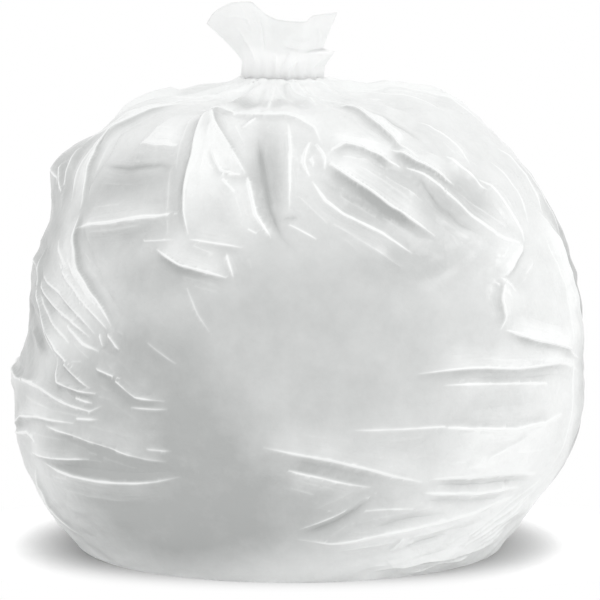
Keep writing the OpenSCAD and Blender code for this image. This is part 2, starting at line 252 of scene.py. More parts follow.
MIDDLE = [
    ([(-28, 80), (-26, 74), (-24, 69), (-23.5, 64), (-23, 60), (-21, 56)], 18, 4, 8),
    ([(-28, 80), (-22, 75), (-17, 71.5), (-13, 68.5), (-9.8, 66)], 4, 13, 7),
    ([(-9.8, 66), (-8.5, 63), (-7, 59), (-3.5, 55.7)], 6, 13, 5),
    ([(-20, 70.5), (-18, 68), (-16, 66.3), (-10, 66)], 8, 3, 4),
    ([(-16, 65.5), (-11, 62.3)], 4, 3, 2),
    ([(-21.5, 56.3), (-15, 55.3), (-9, 54.5)], 14, 5, 2.5),
    ([(-36, 81.5), (-28, 79.8), (-20, 79), (-10, 78), (0, 77.6), (5, 76.8), (9, 74.8), (10.5, 71)],
     16, 4.5, 3.5),
    ([(-13.5, 74.8), (-9, 77.6)], 3, 3, 3),
    ([(-9, 74), (-7, 69), (-5.5, 65), (-4, 60), (-1.5, 56), (3, 53)], 11, 10, -4),
    ([(1, 76), (1.5, 70), (1, 64), (0.5, 60)], 13, 13, 3.5),
    ([(-1.5, 59), (3, 59)], 2, 3, -2.5),
    ([(-0.5, 58.2), (3, 57), (7, 55.5)], 6, 4, 2),
    ([(-9, 57.3), (-6, 56.3)], 3, 3, 1.5),
    ([(-29, 55.3), (-22.5, 52.6), (-16, 51.2), (-11.5, 50.3)], 13, 4, 5),
    ([(-13, 54), (-11.5, 50.3)], 3, 4, 3),
    ([(-22, 51), (-19, 46), (-16, 43)], 8, 8, 1),
]
LEFT_SHOULDER = [
    ([(-50, 84), (-60, 76), (-65, 71), (-61.5, 66.5), (-57.5, 62), (-57, 59.5)], 4, 12, 6),
    ([(-57, 60), (-54, 56), (-51, 53), (-42, 48), (-37, 43.5)], 4, 12, 6),
    ([(-70, 74), (-68, 70), (-66, 66), (-64, 61)], 3, 4, 3),
    ([(-78, 70), (-72, 66), (-68, 60)], 4, 4, 3),
    ([(-80, 66), (-68, 61.5)], 6, 4, 4),
    ([(-58, 68), (-45, 67.5), (-33, 68), (-26, 66.3)], 12, 12, -4),
    ([(-47, 72), (-38, 71.3), (-29, 71.3)], 20, 8, 5),
    ([(-55, 57.8), (-43, 58.6), (-32, 59.5), (-23.5, 60)], 18, 5.6, 6),
    ([(-23.8, 60), (-23.3, 64.5)], 3, 3, 3),
    ([(-33, 57), (-32, 56.3), (-24, 56.3)], 6, 3, 1.5),
    ([(-64, 80), (-72, 74), (-80, 69)], 6, 4, 4),
    ([(-104, 65), (-88, 64.5), (-78, 64), (-71, 62.5)], 8, 6, 3.5),
    ([(-48, 92), (-56, 84), (-66, 80)], 4, 6, 4),
]
LEFT_SIDE = [
    ([(-71.5, 50.5), (-62, 45), (-54, 41), (-45, 38)], 6, 3, 5),
    ([(-69, 50.5), (-58, 47), (-50, 45), (-43, 42.5)], 5, 2.5, 4.5),
    ([(-67, 51), (-55, 48.5), (-47, 45.5), (-42, 43)], 4.5, 2.5, 4),
    ([(-60, 53), (-50, 49.5), (-42, 45.5), (-37, 43)], 5, 2.5, 4),
    ([(-56, 53.5), (-48, 50.5), (-41, 46.5)], 4.5, 2.5, 3.5),
    ([(-74, 55), (-68, 48), (-60, 42.5), (-54, 39.5)], 3, 2.5, 3.5),
    ([(-64, 56), (-56, 52.5), (-49, 48.5), (-44, 45.5)], 2.5, 3, 3.5),
    ([(-66, 48.3), (-57, 44.3), (-49, 41.5)], 2.5, 2, 3),
    ([(-52, 44.5), (-45, 42), (-40, 41)], 3, 3, 3),
    ([(-41, 43.5), (-39.5, 41.5)], 2.5, 2.5, 3),
    ([(-39, 43.6), (-35, 41.3)], 2.5, 3, 3.5),
    ([(-42, 39.3), (-34, 38)], 5, 3, 3.5),
    ([(-82, 47), (-70, 43), (-58, 40)], 10, 8, -6),
    ([(-54.5, 40.5), (-52.5, 37), (-45, 36.2), (-40, 36)], 5, 3, 5),
    ([(-53, 40), (-45, 37.5), (-41.5, 36.3)], 4, 2.5, 4),
    ([(-47, 35.3), (-42, 34.7)], 3, 3, 3),
    ([(-76, 37), (-60, 36), (-47, 34), (-43, 33.6), (-39, 34.8)], 5, 4, 5),
    ([(-47, 32.4), (-41, 32.6)], 2.5, 3, 3),
    ([(-78, 29.5), (-69, 31.7), (-60, 32), (-46, 31.7)], 7, 3, 5),
    ([(-78, 28.6), (-66, 29.6), (-62, 28)], 3, 3, 4),
    ([(-68, 26.4), (-55, 26.8), (-42, 27.4)], 10, 4, 4),
    ([(-58, 31), (-48, 30.2), (-38, 29.2), (-30, 28.2), (-24, 27.6)], 12, 4, 3.4),
    ([(-30, 29.4), (-24, 29)], 2, 2, 2),
    ([(-62, 25.6), (-45, 26), (-30, 26.4), (-22, 26.6)], 4, 4, -2),
    ([(-62, 25.4), (-50, 24.8), (-43, 24.6), (-33, 25), (-22, 25.8)], 6, 10, 4),
    ([(-68, 24), (-66, 18), (-60, 12)], 3, 5, 4),
    ([(-40, 39.3), (-31, 35.8), (-24, 35)], 8, 5, 3),
    ([(-33, 34.6), (-24, 34)], 4, 4, 2),
    ([(-108, 37.6), (-86, 36.8), (-70, 36.4), (-60, 36.6)], 3, 12, 6),
    ([(-106, 53), (-88, 52.5), (-78, 52), (-71, 51)], 8, 8, 3),
    ([(-30, 43), (-22, 39.5)], 6, 4, 1.2),
]
LOWER_FRONT = [
    ([(22, 36.4), (38, 35.6), (50, 34.7), (62, 33.5), (74, 31.5)], 10, 5, 4),
    ([(31, 34.6), (45, 33.6), (60, 32), (70, 30.8)], 4, 4, -2.5),
    ([(28, 34), (45, 32.8), (60, 31)], 4, 13, 2.5),
    ([(27, 29.2), (34, 28.6), (46, 27.4), (56, 27.4), (64, 28.3)], 4, 14, 4),
    ([(10, 30.4), (22, 29.6), (34, 28.8)], 8, 8, 1.6),
    ([(38, 24.4), (50, 26.2), (62, 28)], 4, 12, 3),
    ([(4, 20.8), (16, 20), (30, 19.4)], 5, 5, 1.4),
    ([(27, 23.3), (40, 22.8), (60, 21.7)], 20, 5, 3.6),
    ([(28, 22.4), (40, 21.6), (58, 20.8)], 3, 3, -3),
    ([(26, 21.6), (40, 20.6), (56, 20)], 4, 5, 4),
    ([(27, 20.4), (50, 18.8)], 3, 4, -2.5),
    ([(-7, 28.8), (0, 28), (7, 27), (14, 25.6), (20, 24.2), (27, 22.8)], 13, 7, 3),
    ([(-1, 27.2), (8, 25.8), (18, 24)], 4, 4, -2),
    ([(-3, 26.2), (6, 24.8), (16, 23)], 3, 10, 3),
    ([(16, 21.6), (8.5, 18.5), (1, 16.5)], 4, 4, -3),
    ([(17, 22.4), (8, 19.6), (0, 17.4)], 4, 3, 2),
    ([(0, 16), (8, 15.3), (21, 16.5), (33, 17), (45, 18), (58, 19)], 6, 11, 3.6),
    ([(17, 17.4), (26, 18), (36, 18.2)], 4, 3, -3),
    ([(25.3, 15.6), (23.3, 12.8)], 13, 3, 4),
    ([(25, 12.8), (30, 13.6), (38, 14.4)], 4, 3, -3),
    ([(21, 6.5), (26, 8.5), (37, 9), (50, 9.5), (62, 10.5)], 15, 4, 5),
]
# Thin folds that fan out at the lower right
LOWER_RIGHT_FAN = [
    ([(30 + 2 * i, 4 + 1.4 * i), (48, 8 + 1.5 * i), (64, 13 + 1.6 * i)], 2.5, 2.5, 2.4)
    for i in range(6)
]
# Short gathers that reach down from the tie
UNDER_TIE = [
    ([(-4, 98), (-6, 88), (-6, 79)], 5, 4, 2.5),
    ([(5, 98), (6, 91)], 3, 3, -2.5),
    ([(9, 99), (13, 90), (14, 82)], 6, 4, 4),
    ([(16, 99), (23, 90), (30, 84)], 4, 6, 3),
    ([(-24, 99), (-45, 91), (-60, 86)], 4, 4, 3),
    ([(-20, 98), (-38, 88)], 4, 4, -2),
    ([(40, 99), (50, 90), (56, 84)], 6, 6, 3),
]
# Folds that fan out down the back from the neck, puckers across the back near the ground, and valleys
BACK_FAN = [
    ([(104 + 13 * i, 97 - 5 * (i % 3)), (101 + 14 * i, 78),
      (100 + 14 * i + 5 * (i % 2), 56 + 6 * ((i * 5) % 4))],
     6 + 4 * (i % 3), 16 - 4 * (i % 3), 5 + 1.5 * (i % 2))
    for i in range(12)
]
BACK_PUCKERS = [
    ([(98 + 17 * i, 20 + 11 * ((i * 3) % 4)),
      (122 + 16 * i, 24 + 10 * ((i * 3 + i % 2) % 4))],
     12, 6, 5)
    for i in range(10)
]
BACK_VALLEYS = [
    ([(112 + 20 * i, 74 - 3 * (i % 3)), (124 + 18 * i, 44 + 5 * (i % 2))], 10, 10, -5)
    for i in range(7)
]
FOLDS = (RIGHT_SHOULDER + MIDDLE + LEFT_SHOULDER + LEFT_SIDE + LOWER_FRONT + LOWER_RIGHT_FAN
         + UNDER_TIE + BACK_FAN + BACK_PUCKERS + BACK_VALLEYS)

# Places where the film lies on what is inside and shows it as grey, and where shade is painted as
# grey, most at the lower left and along the outlines: azimuth, height, half width in degrees, half
# height, depth of the grey
GREY = [
    [-2, 40, 74, 30, 0.56],
    [-27, 20, 42, 19, 0.95],
    [-30, 38, 29, 16, 0.75],
    [-18, 30, 20, 12, 0.7],
    [-2, 21, 38, 14, 0.66],
    [-46, 27, 26, 12, 0.85],
    [-49, 36, 20, 8, 0.6],
    [-56, 16, 24, 12, 0.5],
    [-24, 76, 10, 6, 0.35],
    [-64, 40, 16, 13, 0.3],
    [27, 60, 24, 12, 0.42],
    [24, 51, 26, 7, 0.5],
    [40, 32, 24, 6, 0.3],
    [-42, 61, 30, 14, 0.6],
    [-28, 51, 22, 7, 0.55],
    [-62, 44, 9, 9, 0.6],
    [-19, 86, 18, 8, 0.45],
    [0, 86, 18, 6, 0.3],
    [18, 60, 16, 8, 0.5],
    [-5, 65, 8, 14, 0.5],
    [40, 60, 16, 7, 0.45],
    [150, 40, 60, 30, 0.6],
    [-140, 30, 50, 26, 0.6],
    [80, 38, 11, 30, 1.2],
    [-76, 46, 24, 36, 0.8],
    [-80, 66, 24, 12, 0.5],
]

# Places where the film lies smooth: azimuth, height, half width in degrees, half height
CALM = [
    [3, 42, 48, 20],
    [-14, 14, 40, 14],
]

# Rim of the open end: azimuth, and percent of half TUFT_W, of half TUFT_D and of TUFT_H
RIM = [
    [-180, 0, 95, 74],
    [-150, -25, 100, 84],
    [-120, -60, 80, 94],
    [-100, -90, 40, 84],
    [-90, -100, 0, 70],
    [-75, -85, -55, 88],
    [-55, -62, -85, 99],
    [-35, -40, -95, 100],
    [-22, -30, -100, 92],
    [-10, -14, -100, 80],
    [10, 10, -100, 75],
    [35, 34, -90, 75],
    [52, 46, -75, 82],
    [75, 66, -40, 85],
    [90, 73, 0, 85],
    [110, 62, 50, 78],
    [140, 38, 85, 72],
    [180, 0, 95, 74],
]
# Foot of the open end, which hangs over the tie: share of its height, distance from the neck's
# middle, and how far it sinks
TIE_COVER = [
    [0, 0.03, 0.05, 0.08, 0.14, 1],
    [22, 25.3, 26.6, 27, 26, 26],
    [0, -2.5, -6, -8.2, 0, 0],
]
# Creases of the open end: two places as azimuth and share of its height, reach and height
RIM_CREASES = [
    [-6, 0.12, -7, 0.4, 3, 1.2],
    [4, 0.03, 26, 0.3, 3, 1.2],
    [-2, 0.05, 12, 0.42, 3, -1],
    [0, 0.55, 32, 0.48, 3, 1.4],
    [8, 0.66, 48, 0.6, 4, -1],
    [-34, 0.1, -62, 0.7, 5, 1.4],
    [-48, 0.95, -40, 0.6, 3, 1],
    [-22, 0.85, -24, 0.35, 4, -1.4],
    [-70, 0.85, -30, 0.72, 3, 0.8],
    [40, 0.05, 66, 0.36, 4, 1.2],
    [58, 0.8, 70, 0.45, 4, 1.2],
    [120, 0.1, 100, 0.8, 6, 1.2],
    [160, 0.05, 170, 0.6, 6, -1.2],
    [200, 0.1, 205, 0.9, 6, 1.4],
    [235, 0.05, 250, 0.7, 5, -1.2],
]


# Body and film

def smooth(x):
    """Eases from 0 to 1 while x goes from 0 to 1."""
    x = np.clip(x, 0, 1)
    return x * x * (3 - 2 * x)


def lump(x):
    """1 at x = 0, easing to 0 at -1 and 1."""
    return smooth(1 - np.abs(x))


def wrapped(a):
    """The same angle between -180 and 180."""
    return (a + 180) % 360 - 180


def quarter(up):
    """Angle of the outline's quarter ellipse, from 0 at its lower end to a right angle."""
    low = np.maximum(1, 90 * up / BELLY_UP)
    high = 90 * (up - BELLY_UP) / (100 - BELLY_UP)
    return np.radians(np.where(up < BELLY_UP, low, high))


def half_span(up, base, belly):
    """Half the width or the depth of the bag at a height, from the base's and the belly's."""
    q = quarter(up)
    lower = base + (belly - base) * np.sin(q) ** FLANK
    upper = NECK_D + (belly - NECK_D) * np.cos(q)
    return np.where(up < BELLY_UP, lower, upper) / 2


def held(up):
    """1 where the film is free to stand off the body, and 0 at the ground and at the tie."""
    return smooth(up / FREE_LOW) * smooth((100 - up) / FREE_HIGH)


def body_surface(a, up):
    """The smooth body that the film lies on."""
    ar = np.radians(a)
    q = quarter(up)
    lower = up < BELLY_UP
    level = BELLY_H + BELLY_TILT * np.sin(ar)
    low_z = np.where(up == 0, 0, level * (1 - np.cos(q)))
    z = np.where(lower, low_z, level + (GROOVE_BOTTOM - level) * np.sin(q))
    climb = np.where(lower, level * np.sin(q), (GROOVE_BOTTOM - level) * np.cos(q))
    flare = (BAG_W - BASE_W) / 2 * FLANK * np.sin(q) ** (FLANK - 1) * np.cos(q)
    widen = np.where(lower, flare, -(BAG_W - NECK_D) / 2 * np.sin(q))
    size = np.hypot(climb, widen)
    off = np.where(lower, 0, SHOULDER * np.sin(2 * q) ** 2)
    for azimuth, height, wide, tall, share in SWELLS:
        off = off + SAG * share * lump(wrapped(a - azimuth) / wide) * lump((up - height) / tall)
    off = off * held(up)
    x = np.sin(ar) * (half_span(up, BASE_W, BAG_W) + off * climb / size)
    y = -np.cos(ar) * (half_span(up, BASE_D, BAG_D) + off * climb / size)
    x = x - NECK_LEAN * (z / TIE_H) ** 2 - BASE_SHIFT * (1 - smooth(z / BELLY_H))
    return np.stack([x, y, z - off * widen / size], -1)


def normals(grid):
    """Outward directions of a grid that closes on itself along its second index."""
    across = np.roll(grid, -1, 1) - np.roll(grid, 1, 1)
    along = np.gradient(grid, axis=0)
    n = np.cross(across, along)
    return n / np.maximum(np.linalg.norm(n, axis=-1, keepdims=True), 1e-9)


def per_degree(up):
    """Millimetres along the film for a degree around it."""
    return (half_span(up, BASE_W, BAG_W) + half_span(up, BASE_D, BAG_D)) * pi / 360


def per_percent(up):
    """Millimetres along the film for a percent of its height."""
    return np.where(up < BELLY_UP, LOWER_LEN / BELLY_UP, UPPER_LEN / (100 - BELLY_UP))


def reached(a, up, line, margin):
    """Rows and columns of the grid within a margin of a line on the film."""
    places = np.array(line, float)
    turn = places[0, 0] + wrapped(places[:, 0] - places[0, 0])
    centre = (turn.min() + turn.max()) / 2
    slack = margin / per_percent(places[:, 1]).min()
    rows = (up > places[:, 1].min() - slack) & (up < places[:, 1].max() + slack)
    slack = margin / np.maximum(per_degree(places[:, 1]).min(), LEAST_DEGREE)
    columns = np.abs(wrapped(a - centre)) < (turn.max() - turn.min()) / 2 + slack
    return np.where(rows)[0], np.where(columns)[0]


def near_folds(places, folds, margin=None, first=0):
    """For each fold that is near points of the grid: its number, its values, and those points.

    They are the points within a margin or, where none is given, as far as the fold reaches.
    """
    a, up = places
    for number, fold in enumerate(folds, first):
        line, left, right, _ = fold
        far = FOLD_REACH * max(left, right) + 2 if margin is None else margin
        rows, columns = reached(a[0], up[:, 0], line, far)
        if len(rows) and len(columns):
            yield number, fold, np.ix_(rows, columns)


def stretches(line):
    """For each stretch of a line on the film: its ends, how far along it starts, its length."""
    passed = 0
    for p, q in zip(line[:-1], line[1:]):
        height = np.array(p[1])
        dx, dy = wrapped(q[0] - p[0]) * per_degree(height), (q[1] - p[1]) * per_percent(height)
        span = float(np.hypot(dx, dy))
        yield p, q, passed, span
        passed += span


def length_of(line):
    return sum(span for _, _, _, span in stretches(line))


def tapered(along):
    """Share of a fold's width and height: it grows from a point and dies out to a point."""
    return np.clip(np.minimum(along / GROWS, (1 - along) / DIES), 0, 1)


def beside_line(a, up, line):
    """For places on the film: share along a line on it, and distance from it, right side positive."""
    ma, mu = per_degree(up), per_percent(up)
    total = length_of(line)
    near = np.full(a.shape, np.inf)
    along, away = np.zeros(a.shape), np.zeros(a.shape)
    for p, q, passed, span in stretches(line):
        px, py = wrapped(a - p[0]) * ma, (up - p[1]) * mu
        dx, dy = wrapped(q[0] - p[0]) * ma, (q[1] - p[1]) * mu
        share = np.clip((px * dx + py * dy) / (dx * dx + dy * dy), 0, 1)
        gap = np.hypot(px - share * dx, py - share * dy)
        closer = gap < near
        near = np.where(closer, gap, near)
        along = np.where(closer, (passed + share * span) / total, along)
        away = np.where(closer, gap * np.sign(px * dy - py * dx), away)
    return along, away


def fold_lift(places, folds, undrawn, first=0):
    """How far the folds lift the film, how near it is to a crest, its painted shade, and its layers.

    The film is sharp at each crest and slack, like a hung sheet, between two. Painted shade is told
    in a valley and under a sharp drop, and a painted highlight near each crest; the film lies in layers
    on the long slope beside such a drop. What is told falls evenly with the distance from a crest,
    also below zero, so that it stays exact between the points. Undrawn holds the number of a fold that
    isn't told at a point.
    """
    a, up = places
    high, low = np.zeros(a.shape), np.zeros(a.shape)
    crest, shade, layer = (np.full(a.shape, FAR) for _ in range(3))
    for number, (line, left, right, height), where in near_folds(places, folds, first=first):
        along, away = beside_line(a[where], up[where], line)
        gap, share = np.abs(away), tapered(along)
        here, other = np.where(away > 0, right, left), np.where(away > 0, left, right)
        reach = FOLD_REACH * here * (END_REACH + (1 - END_REACH) * share)
        lift = FOLD_SHARE * abs(height) * share * np.clip(1 - gap / reach, 0, 1) ** 2
        strength = share * min(MOST_TOLD, abs(height) / FULL_HEIGHT)
        if height < 0:
            low[where] += lift ** 3
            shade[where] = np.maximum(shade[where], strength * (1 - gap / LINE_REACH))
            continue
        high[where] += lift ** 3
        nearness = strength ** (1 / LINE_THIN) * (1 - gap / LINE_REACH)
        steep = (here < STEEP) & (other > LOPSIDED * here)
        across = (other < STEEP) & (here > LOPSIDED * other)
        drop = 1 - gap / np.where(steep, SHADE_REACH * here + 1, PAST_CREST)
        drop = np.where(steep | across, strength * drop, FAR)
        longer, shorter = max(left, right), min(left, right)
        side = np.clip((longer - STEEP) / STEEP, 0, 1) * (longer > LOPSIDED * shorter)
        laid = side * strength * (1 - gap / np.where(here > other, SHADE_REACH * here, PAST_CREST))
        drawn = undrawn[where] != number
        for field, value in ((crest, nearness), (shade, drop), (layer, laid)):
            field[where] = np.maximum(field[where], np.where(drawn, value, UNDRAWN))
    return np.cbrt(high) - VALLEY_SHARE * np.cbrt(low), crest, shade, layer


def drawn_to_crests(places, bent, folds):
    """Moves the points nearest to each crest onto it.

    A stretch that crosses more columns than rows takes one point of each column, and any other one
    point of each row. Returns the places, the number of the fold that each point is on, and the
    number of one that isn't drawn there, because a stronger crest runs close beside it.
    """
    a, up = places
    wide = per_degree(up) * wrapped(np.roll(a, -1, 1) - a)
    tall = per_percent(up) * np.gradient(up, axis=0)
    owner = np.full(a.shape, -1)
    strength = np.full(a.shape, LEAST_CREST)
    moved_a, moved_up = a.copy(), up.copy()
    for number, (line, _, _, height), where in near_folds(places, folds, CREST_MARGIN):
        here_a, here_up = bent[0][where], bent[1][where]
        ma, mu = per_degree(here_up), per_percent(here_up)
        total = length_of(line)
        for p, q, passed, span in stretches(line):
            px, py = wrapped(here_a - p[0]) * ma, (here_up - p[1]) * mu
            dx, dy = wrapped(q[0] - p[0]) * ma + 1e-6, (q[1] - p[1]) * mu + 1e-6
            beside = np.hypot(px - np.clip(px / dx, 0, 1) * dx, py - np.clip(py / dy, 0, 1) * dy)
            weight = 1 / (1 + beside ** 2)
            columns, rows = np.abs(dx / wide[where]), np.abs(dy / tall[where])
            flat = (weight * columns).sum() >= (weight * rows).sum()
            share = px / dx if flat else py / dy
            offset = dy / dx * px - py if flat else dx / dy * py - px
            in_cells = offset / (tall[where] if flat else wide[where])
            power = FOLD_SHARE * abs(height) * tapered((passed + np.clip(share, 0, 1) * span) / total)
            apart = np.abs(offset)
            taken = (apart == apart.min(0 if flat else 1, keepdims=True)) & (power > strength[where])
            taken &= (np.abs(in_cells) < MOST_CELLS) & (share >= 0) & (share <= 1)
            taken &= (here_up > CRESTS_FROM) & (here_up < CRESTS_TO)
            to_a, to_up = (0, offset / mu) if flat else (offset / ma, 0)
            values = a[where] + to_a, up[where] + to_up, power, number
            for field, value in zip((moved_a, moved_up, strength, owner), values):
                field[where] = np.where(taken, value, field[where])
    crowded = np.zeros(a.shape, bool)
    for step in [(rows, columns) for rows in (-1, 0, 1) for columns in (-1, 0, 1)]:
        beside, power = (np.roll(field, step, (0, 1)) for field in (owner, strength))
        rank = (power > strength) | ((power == strength) & (beside > owner))
        crowded |= (owner >= 0) & (beside >= 0) & (beside != owner) & rank
    return (moved_a, moved_up), np.where(crowded, -1, owner), np.where(crowded, owner, -1)


def streaks_beside(places, folds):
    """For the streaks: distance from the nearest fold, way along it, and how near it is."""
    a, up = places
    nearest, second = np.full(a.shape, STREAK_REACH), np.full(a.shape, STREAK_REACH)
    away_all, along_all, near_all = (np.zeros(a.shape) for _ in range(3))
    for number, (line, _, _, height), where in near_folds(places, folds, STREAK_REACH):
        along, away = beside_line(a[where], up[where], line)
        gap = np.abs(away)
        closer = gap < nearest[where]
        second[where] = np.where(closer, nearest[where], np.minimum(second[where], gap))
        way = along * length_of(line) + STREAK_STEP * number
        ends = smooth(np.minimum(along, 1 - along) / STREAK_ENDS)
        near = min(1, abs(height) / FULL_HEIGHT) * ends * smooth(1 - gap / STREAK_REACH)
        for field, value in ((nearest, gap), (away_all, away), (along_all, way), (near_all, near)):
            field[where] = np.where(closer, value, field[where])
    return away_all, along_all, near_all * smooth((second - nearest) / STREAK_GAP)


def companions(folds, seed):
    """Smaller folds that run beside the main ones, nearly along them."""
    rng = np.random.default_rng(seed)
    out = []
    for line, _, _, height in folds:
        places = np.array(line, float)
        for side in (-1, 1, -1, 1):
            start = rng.uniform(*SMALL_START)
            end = min(1, start + rng.uniform(*SMALL_LENGTH))
            away = side * rng.uniform(*SMALL_AWAY)
            turned = rng.uniform(*SMALL_TURN)
            ends = []
            for share, shift in ((start, away), (end, away + turned)):
                at = share * (len(places) - 1)
                k = min(int(at), len(places) - 2)
                step = places[k + 1] - places[k]
                here = places[k] + step * (at - k)
                ma, mu = float(per_degree(here[1])), float(per_percent(here[1]))
                dx, dy = step[0] * ma, step[1] * mu
                size = max(np.hypot(dx, dy), 1e-6)
                ends.append((here[0] + shift * dy / size / ma, here[1] - shift * dx / size / mu))
            tall = rng.uniform(*SMALL_SHARE) * min(abs(height), SMALL_MOST)
            slopes = rng.uniform(*SMALL_SLOPE), rng.uniform(*SMALL_SLOPE)
            out.append((ends, *slopes, tall * rng.choice([-1, 1, 1])))
    return out


def gather_lift(a, up):
    """Gathers that start below the tie and die out on the shoulders."""
    near = smooth((up - GATHER_START) / (GATHER_FULL - GATHER_START)) * smooth((99.8 - up) / 1.2)
    first = np.cos(np.radians(GATHER_COUNTS[0] * a + 40))
    second = np.cos(np.radians(GATHER_COUNTS[1] * a - 70 + 25 * np.sin(np.radians(3 * a))))
    tight = smooth((up - GATHER_TIGHT) / 4)
    return GATHER_H * near * ((0.6 * first + 0.5 * second) * (1 - 0.75 * tight) + 0.5 + 0.8 * tight)


def grid_places():
    """Azimuth and height of each point of the grid."""
    turn = np.arange(-180, 180.1, 0.5)
    passed = np.cumsum(np.interp(turn, *COLUMN_DENSITY))
    passed = (passed - passed[0]) / (passed[-1] - passed[0])
    a = np.interp(np.arange(COLUMNS) / COLUMNS, passed, turn)
    low = np.linspace(0, BELLY_UP, LOWER_ROWS, endpoint=False)
    climb = np.linspace(BELLY_UP, 100, 500)
    risen = np.cumsum(np.interp(climb, *ROW_DENSITY))
    high = np.interp(np.linspace(risen[0], risen[-1], UPPER_ROWS), risen, climb)
    return np.meshgrid(a, np.concatenate([low, high]))


def soft_noise(places, seed, size):
    """Seeded smooth noise over the film, of about unit height and of a size in millimetres."""
    a, up = places
    rng = np.random.default_rng(seed)
    x, y, z = (body_surface(a, up) / size).transpose(2, 0, 1)
    out = np.zeros(a.shape)
    for _ in range(WAVES):
        way = rng.normal(size=3)
        out += np.cos(x * way[0] + y * way[1] + z * way[2] + rng.uniform(0, 2 * pi))
    return out / np.sqrt(WAVES / 2)


def calm(places):
    """Near 1 where the film lies smooth, and 0 where it is creased."""
    a, up = places
    smoothed = np.zeros(a.shape)
    for azimuth, height, wide, tall in CALM:
        reach = np.hypot(wrapped(a - azimuth) / wide, (up - height) / tall)
        smoothed = np.maximum(smoothed, smooth(2 * (1 - reach)))
    return CALM_SHARE * smoothed


def crumpled(places):
    """Low facets with sharp creases between them, as in film that has been squeezed before."""
    rng = np.random.default_rng(21)
    x, y, z = body_surface(*places).transpose(2, 0, 1)
    bend = [CRUMPLE_BEND * soft_noise(places, seed, CRUMPLE_BEND_SIZE) for seed in (31, 32, 33)]
    lift = np.zeros(x.shape)
    for _ in range(CRUMPLE_WAYS):
        way = rng.normal(size=3)
        way /= np.linalg.norm(way)
        turn = (x + bend[0]) * way[0] + (y + bend[1]) * way[1] + (z + bend[2]) * way[2]
        share = turn / rng.uniform(*CRUMPLE_WIDTH) + rng.uniform()
        lift += np.abs(share - np.round(share)) - 0.25
    return CRUMPLE_H * lift


def wandering(places):
    """The same places moved by about a millimetre, so that no fold is quite straight."""
    a, up = places
    around, along = (WANDER * soft_noise(places, seed, WANDER_SIZE) for seed in (3, 5))
    return a + held(up) * around / per_degree(up), up + held(up) * along / per_percent(up)


def folded_film():
    """Returns places, points, heights off the body, crest numbers, and what the material is told."""
    small = companions(FOLDS, 11)
    places = grid_places()
    places, owner, undrawn = drawn_to_crests(places, wandering(places), FOLDS + small)
    body = body_surface(*places)
    outward = normals(body)
    bent = wandering(places)
    free = held(places[1])
    away, along, near = streaks_beside(bent, FOLDS)
    off, crest, shade, layer = fold_lift(bent, FOLDS, undrawn)
    small_off, small_crest, small_shade, _ = fold_lift(bent, small, undrawn, len(FOLDS))
    off = off + small_off + crumpled(places) * (1 - calm(places))
    # Two sets of fine waves, one along the folds and one aslant
    streaks = np.cos(away * 1.1 + 2 * np.sin(along / 17)) + np.cos(away * 0.7 + along / 11)
    off = off + STREAK_H * near * streaks
    off = (off + UNEVEN_H * soft_noise(places, 7, UNEVEN_SIZE)) * free + gather_lift(*bent)
    film = body + outward * off[..., None]
    film[..., 2] = np.maximum(film[..., 2], 0)
    tells = {
        # The crest is drawn as a painted highlight, the shade as painted shade
        "crest": np.maximum(crest, SMALL_CREST * small_crest) * free,
        "shade": np.maximum(shade, SMALL_SHADE * small_shade) * free,
        "layer": layer,
        "calm": calm(places),
        "streak_away": away,
        "streak_along": along,
        "streak_near": near,
    }
    return places, film, off, owner, tells


def whiteness_and_painted_shade(places, off):
    """How white the film looks: 0 on what is inside and in painted shade, 1 where it stands off."""
    a, up = places
    grey = np.zeros(a.shape)
    for azimuth, height, wide, tall, depth in GREY:
        reach = np.hypot(wrapped(a - azimuth) / wide, (up - height) / tall)
        grey += (depth * smooth(1.2 * (1 - reach))) ** 3
    grey = np.cbrt(grey) * (1 - CREST_CLEAR * smooth(off / 4))
    free = FREE_WHITE + TOP_GAIN * smooth((up - 80) / 12) - SHOULDER_LOSS * lump((up - 67) / 28)
    return np.clip(free - grey, 0, 1)


# Open end above the tie

def crease_lift(around, t):
    """How far the creases lift the film of the open end."""
    lift = np.zeros(around.shape)
    for a0, t0, a1, t1, reach, height in RIM_CREASES:
        px, py = wrapped(around - a0) * RIM_DEGREE, (t - t0) * TUFT_H
        dx, dy = (a1 - a0) * RIM_DEGREE, (t1 - t0) * TUFT_H
        share = np.clip((px * dx + py * dy) / (dx * dx + dy * dy), 0, 1)
        gap = np.hypot(px - share * dx, py - share * dy)
        ends = np.sin(pi * np.clip(share, 0.02, 0.98)) ** 0.5
        lift += height * np.clip(1 - gap / reach, 0, 1) ** 2 * ends
    return lift


def rim_at(a):
    """A round line through the places of the rim."""
    table = np.array(RIM, float)
    last = len(table) - 1
    k = np.clip(np.searchsorted(table[:, 0], a, side="right") - 1, 0, last - 1)
    t = ((a - table[k, 0]) / (table[k + 1, 0] - table[k, 0]))[..., None]
    before, here, there, after = (table[(k + step) % last, 1:] for step in (-1, 0, 1, 2))
    bend = (there - here) * (3 * t - 2 * t * t) * t
    lean = (there - before) * t * (1 - t) ** 2 - (after - here) * t * t * (1 - t)
    percent = here + bend + lean / 2
    return percent / 100 * np.array([TUFT_W / 2, TUFT_D / 2, TUFT_H])


